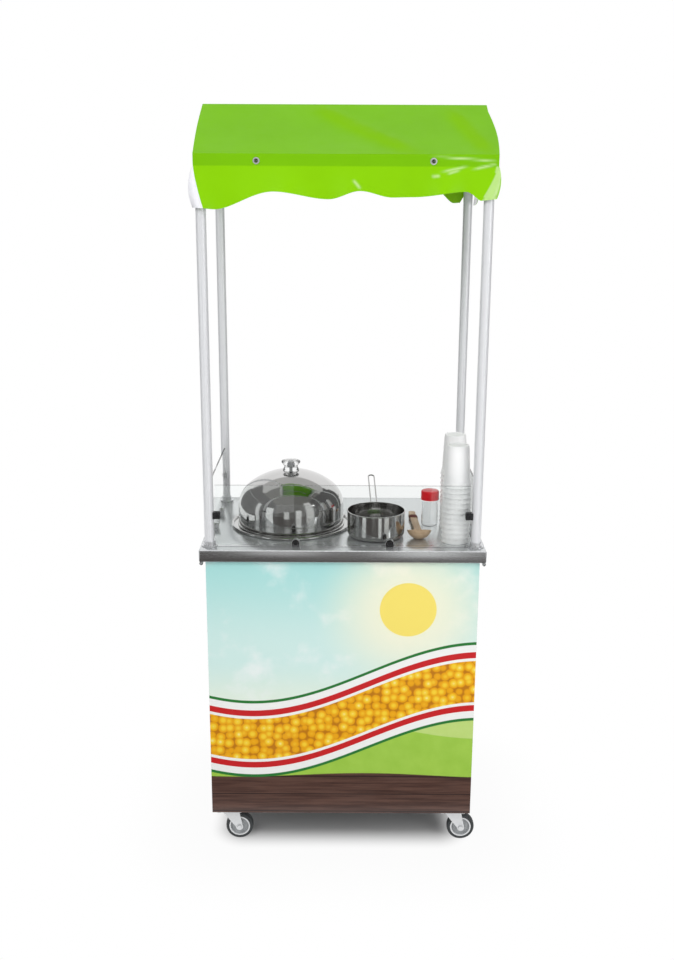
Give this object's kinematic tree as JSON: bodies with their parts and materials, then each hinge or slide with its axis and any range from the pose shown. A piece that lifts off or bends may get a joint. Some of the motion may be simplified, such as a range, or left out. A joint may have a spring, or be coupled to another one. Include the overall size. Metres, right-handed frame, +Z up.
{
  "type": "corn steamer cart",
  "caption": "Wheeled food cart with a cabinet, steel worktop, domed steam pot, clear guards, posts and a gable canopy.",
  "frame": {"origin": "on the ground below the middle of the worktop", "axes": "+Z up, front panel towards -Y, +X to the right seen from the front"},
  "size_m": [0.7329, 0.506, 1.9444],
  "materials": {
    "brushed_steel_sheet": "brushed sheet",
    "polished_steel": "mirror polished",
    "bright_tube": "bright",
    "bright_fittings": "bright",
    "zinc": "zinc plated",
    "frame_steel": "satin",
    "printed_panel": "printed, gloss",
    "plain_panel": "satin",
    "canopy_cloth": "coated, gloss",
    "clear_panel": "clear",
    "clear_plastic": "clear",
    "frosted_cups": "frosted",
    "black_plastic": "satin",
    "red_plastic": "gloss",
    "spoon_wood": "bare",
    "element_sheath": "oxidised",
    "hub_plastic": "satin",
    "tyre_rubber": "matt"
  },
  "bodies": {
    "cart": {"worktop": "brushed_steel_sheet", "steam_tray": "brushed_steel_sheet", "hinge_leaves": "brushed_steel_sheet", "steam_pot": "polished_steel", "posts": "bright_tube", "roof_rails": "bright_tube", "post_sockets": "bright_fittings", "glass_feet": "bright_fittings", "canopy_screws": "bright_fittings", "castor_plates": "zinc", "castor_bolts": "zinc", "cabinet_floor": "frame_steel", "corner_uprights": "frame_steel", "base_rails": "frame_steel", "top_rails": "frame_steel", "gable_straps": "frame_steel", "ridge_bar": "frame_steel", "element_clamp": "frame_steel", "front_panel": "printed_panel", "side_panels": "plain_panel", "control_panel": "plain_panel", "canopy_roof": "canopy_cloth", "canopy_valance": "canopy_cloth", "front_glass": "clear_panel", "side_glasses": "clear_panel", "glass_clamps": "black_plastic", "thermostat_body": "black_plastic", "switch_housing": "black_plastic", "power_inlet": "black_plastic", "roof_corners": "black_plastic", "heating_element": "element_sheath"},
    "lid": {"lid_dome": "polished_steel", "lid_knob": "clear_plastic", "lid_screw": "polished_steel"},
    "pan": {"pan": "polished_steel", "pan_handle": "polished_steel"},
    "spoon": {"spoon": "spoon_wood"},
    "bottle": {"bottle": "clear_plastic"},
    "bottle_cap": {"bottle_cap": "red_plastic"},
    "cups_front": {"cup_stack_front": "frosted_cups"},
    "cups_rear": {"cup_stack_rear": "frosted_cups"},
    "door_left": {"door_left": "plain_panel", "door_pull_left": "black_plastic"},
    "door_right": {"door_right": "plain_panel", "door_pull_right": "black_plastic"},
    "thermostat_knob": {"thermostat_knob": "black_plastic", "thermostat_shaft": "frame_steel"},
    "switch_rocker": {"switch_rocker": "red_plastic"},
    "castor_front_left": {"castor_fork_front_left": "zinc"},
    "wheel_front_left": {"wheel_hub_front_left": "hub_plastic", "wheel_tyre_front_left": "tyre_rubber"},
    "castor_front_right": {"castor_fork_front_right": "zinc"},
    "wheel_front_right": {"wheel_hub_front_right": "hub_plastic", "wheel_tyre_front_right": "tyre_rubber"},
    "castor_rear_left": {"castor_fork_rear_left": "zinc"},
    "wheel_rear_left": {"wheel_hub_rear_left": "hub_plastic", "wheel_tyre_rear_left": "tyre_rubber"},
    "castor_rear_right": {"castor_fork_rear_right": "zinc"},
    "wheel_rear_right": {"wheel_hub_rear_right": "hub_plastic", "wheel_tyre_rear_right": "tyre_rubber"}
  },
  "joints": [
    {"name": "castor_swivel_front_left", "type": "hinge", "parent": "cart", "child": "castor_front_left", "pos_m": [-0.305, -0.194, 0.095], "axis": [0, 0, 1], "continuous": true},
    {"name": "wheel_spin_front_left", "type": "hinge", "parent": "castor_front_left", "child": "wheel_front_left", "pos_m": [-0.28, -0.194, 0.0375], "axis": [0, 1, 0], "continuous": true},
    {"name": "castor_swivel_front_right", "type": "hinge", "parent": "cart", "child": "castor_front_right", "pos_m": [0.305, -0.194, 0.095], "axis": [0, 0, 1], "continuous": true},
    {"name": "wheel_spin_front_right", "type": "hinge", "parent": "castor_front_right", "child": "wheel_front_right", "pos_m": [0.33, -0.194, 0.0375], "axis": [0, 1, 0], "continuous": true},
    {"name": "castor_swivel_rear_left", "type": "hinge", "parent": "cart", "child": "castor_rear_left", "pos_m": [-0.305, 0.177, 0.095], "axis": [0, 0, 1], "continuous": true},
    {"name": "wheel_spin_rear_left", "type": "hinge", "parent": "castor_rear_left", "child": "wheel_rear_left", "pos_m": [-0.28, 0.177, 0.0375], "axis": [0, 1, 0], "continuous": true},
    {"name": "castor_swivel_rear_right", "type": "hinge", "parent": "cart", "child": "castor_rear_right", "pos_m": [0.305, 0.177, 0.095], "axis": [0, 0, 1], "continuous": true},
    {"name": "wheel_spin_rear_right", "type": "hinge", "parent": "castor_rear_right", "child": "wheel_rear_right", "pos_m": [0.33, 0.177, 0.0375], "axis": [0, 1, 0], "continuous": true},
    {"name": "lid_lift", "type": "slide", "parent": "cart", "child": "lid", "axis": [0, 0, 1], "range_m": [0, 0.3]},
    {"name": "pan_lift", "type": "slide", "parent": "cart", "child": "pan", "axis": [0, 0, 1], "range_m": [0, 0.25]},
    {"name": "spoon_lift", "type": "slide", "parent": "cart", "child": "spoon", "axis": [0, 0, 1], "range_m": [0, 0.25]},
    {"name": "bottle_lift", "type": "slide", "parent": "cart", "child": "bottle", "axis": [0, 0, 1], "range_m": [0, 0.25]},
    {"name": "bottle_cap_lift", "type": "slide", "parent": "bottle", "child": "bottle_cap", "axis": [0, 0, 1], "range_m": [0, 0.05]},
    {"name": "cups_front_lift", "type": "slide", "parent": "cart", "child": "cups_front", "axis": [0, 0, 1], "range_m": [0, 0.28]},
    {"name": "cups_rear_lift", "type": "slide", "parent": "cart", "child": "cups_rear", "axis": [0, 0, 1], "range_m": [0, 0.28]},
    {"name": "door_left_hinge", "type": "hinge", "parent": "cart", "child": "door_left", "pos_m": [-0.321, 0.223, 0.43], "axis": [0, 0, 1], "range_deg": [0, 110]},
    {"name": "door_right_hinge", "type": "hinge", "parent": "cart", "child": "door_right", "pos_m": [0.321, 0.223, 0.43], "axis": [0, 0, -1], "range_deg": [0, 110]},
    {"name": "thermostat_turn", "type": "hinge", "parent": "cart", "child": "thermostat_knob", "pos_m": [-0.18, 0.23, 0.7835], "axis": [0, -1, 0], "range_deg": [0, 270]},
    {"name": "switch_rock", "type": "hinge", "parent": "cart", "child": "switch_rocker", "pos_m": [0, 0.214, 0.7835], "axis": [1, 0, 0], "range_deg": [0, 16]}
  ]
}
